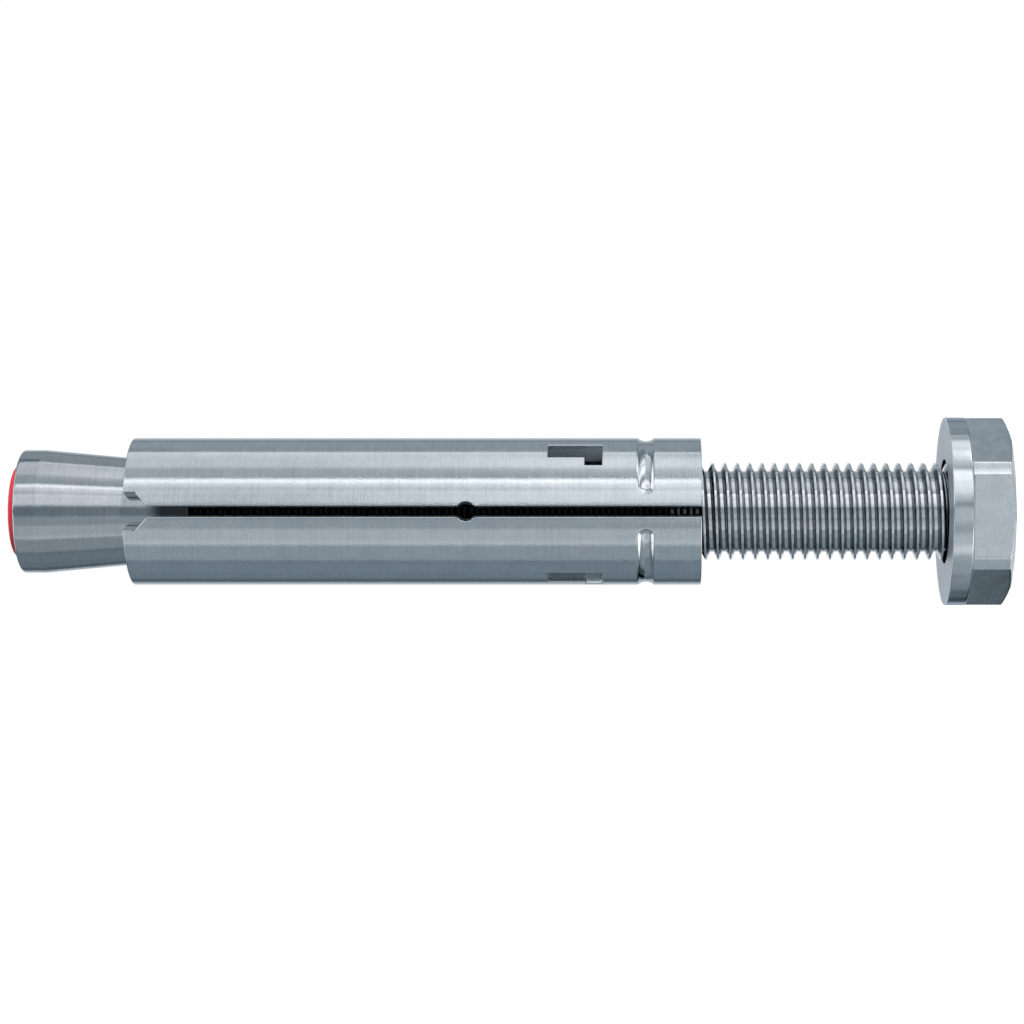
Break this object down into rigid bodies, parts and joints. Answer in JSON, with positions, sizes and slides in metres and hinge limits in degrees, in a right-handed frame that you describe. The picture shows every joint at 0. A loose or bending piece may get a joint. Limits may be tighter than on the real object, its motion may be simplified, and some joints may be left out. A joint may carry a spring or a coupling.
{
  "type": "sleeve anchor",
  "caption": "Sleeve anchor with hex bolt and washer: the bolt draws a cone nut into a slotted rolled sleeve, with a dust plug in the cone's front.",
  "frame": {"origin": "centre of the bolt head's end face, on which the anchor stands", "axes": "+Z along the axis from the head to the cone; the sleeve's seam faces -Y"},
  "size_m": [0.019, 0.019, 0.0999],
  "materials": {
    "sleeve_steel": "zinc plated, satin",
    "cone_steel": "zinc plated, turned",
    "bolt_steel": "zinc plated, bright",
    "washer_steel": "zinc plated, stamped",
    "plug_red": "smooth red plastic"
  },
  "bodies": {
    "sleeve": {"expansion_sleeve": "sleeve_steel"},
    "bolt": {"hex_bolt": "bolt_steel"},
    "cone": {"cone_nut": "cone_steel", "dust_plug": "plug_red"},
    "washer": {"washer": "washer_steel"}
  },
  "joints": [
    {"name": "bolt_turn", "type": "hinge", "parent": "sleeve", "child": "bolt", "pos_m": [0, 0, 0.00215], "axis": [0, 0, 1], "range_deg": [-720, 288]},
    {"name": "cone_draw", "type": "slide", "parent": "sleeve", "child": "cone", "axis": [0, 0, -1], "range_m": [-0.00251, 0.00101]},
    {"name": "washer_slide", "type": "slide", "parent": "bolt", "child": "washer", "axis": [0, 0, 1], "range_m": [0, 0.0242]}
  ],
  "couplings": [
    {"joint": "cone_draw", "follows": "bolt_turn", "m_per_rad": 0.00019894}
  ]
}
